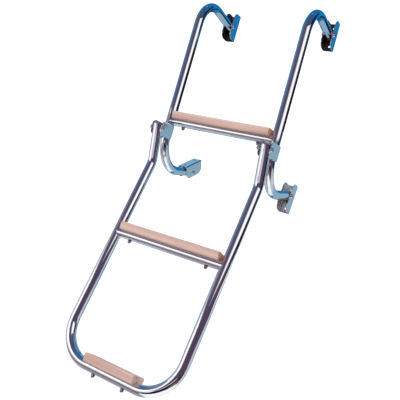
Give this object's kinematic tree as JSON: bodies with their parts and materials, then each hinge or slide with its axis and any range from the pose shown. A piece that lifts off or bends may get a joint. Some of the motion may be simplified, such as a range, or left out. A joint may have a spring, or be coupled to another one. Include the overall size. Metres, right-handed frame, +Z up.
{
  "type": "folding swim ladder",
  "caption": "Folding boat ladder of bent steel tube with grooved wooden treads, a lower frame hinged below the top step, and a swivelling channel bracket at each tube end.",
  "frame": {"origin": "middle of the left top bracket's mounting face", "axes": "+Z up, +Y out of the top brackets' mounting faces towards the boat, +X from the left rail to the right one seen by a climber"},
  "size_m": [0.32, 0.3644, 0.9246],
  "materials": {
    "tube_steel": "polished",
    "bracket_steel": "polished",
    "fastener_steel": "satin",
    "tread_wood": "satin",
    "plug_plastic": "satin"
  },
  "bodies": {
    "upper_frame": {"left_upper_rail": "tube_steel", "right_upper_rail": "tube_steel", "upper_rung": "tube_steel", "upper_tread": "tread_wood", "upper_tread_screws": "fastener_steel", "left_hinge_bracket": "bracket_steel", "right_hinge_bracket": "bracket_steel", "left_hinge_bolt": "fastener_steel", "right_hinge_bolt": "fastener_steel", "left_hinge_nut": "fastener_steel", "right_hinge_nut": "fastener_steel"},
    "lower_frame": {"lower_frame_tube": "tube_steel", "left_leg_plug": "plug_plastic", "right_leg_plug": "plug_plastic", "middle_rung": "tube_steel", "middle_tread": "tread_wood", "middle_tread_screws": "fastener_steel", "bottom_tread": "tread_wood", "bottom_tread_screws": "fastener_steel"},
    "top_left_bracket": {"top_left_bracket": "bracket_steel", "top_left_bracket_bolt": "fastener_steel", "top_left_bracket_nut": "fastener_steel"},
    "top_right_bracket": {"top_right_bracket": "bracket_steel", "top_right_bracket_bolt": "fastener_steel", "top_right_bracket_nut": "fastener_steel"},
    "bottom_left_bracket": {"bottom_left_bracket": "bracket_steel", "bottom_left_bracket_bolt": "fastener_steel", "bottom_left_bracket_nut": "fastener_steel"},
    "bottom_right_bracket": {"bottom_right_bracket": "bracket_steel", "bottom_right_bracket_bolt": "fastener_steel", "bottom_right_bracket_nut": "fastener_steel"}
  },
  "joints": [
    {"name": "fold", "type": "hinge", "parent": "upper_frame", "child": "lower_frame", "pos_m": [0.141, -0.21582, -0.34465], "axis": [-1, 0, 0], "range_deg": [0, 172]},
    {"name": "top_left_swivel", "type": "hinge", "parent": "upper_frame", "child": "top_left_bracket", "pos_m": [0, -0.0255, -0.003], "axis": [1, 0, 0], "range_deg": [-113, 100]},
    {"name": "top_right_swivel", "type": "hinge", "parent": "upper_frame", "child": "top_right_bracket", "pos_m": [0.282, -0.0255, -0.003], "axis": [1, 0, 0], "range_deg": [-113, 100]},
    {"name": "bottom_left_swivel", "type": "hinge", "parent": "upper_frame", "child": "bottom_left_bracket", "pos_m": [0, -0.01944, -0.41339], "axis": [1, 0, 0], "range_deg": [-214, 0]},
    {"name": "bottom_right_swivel", "type": "hinge", "parent": "upper_frame", "child": "bottom_right_bracket", "pos_m": [0.282, -0.01944, -0.41339], "axis": [1, 0, 0], "range_deg": [-86, 127]}
  ]
}
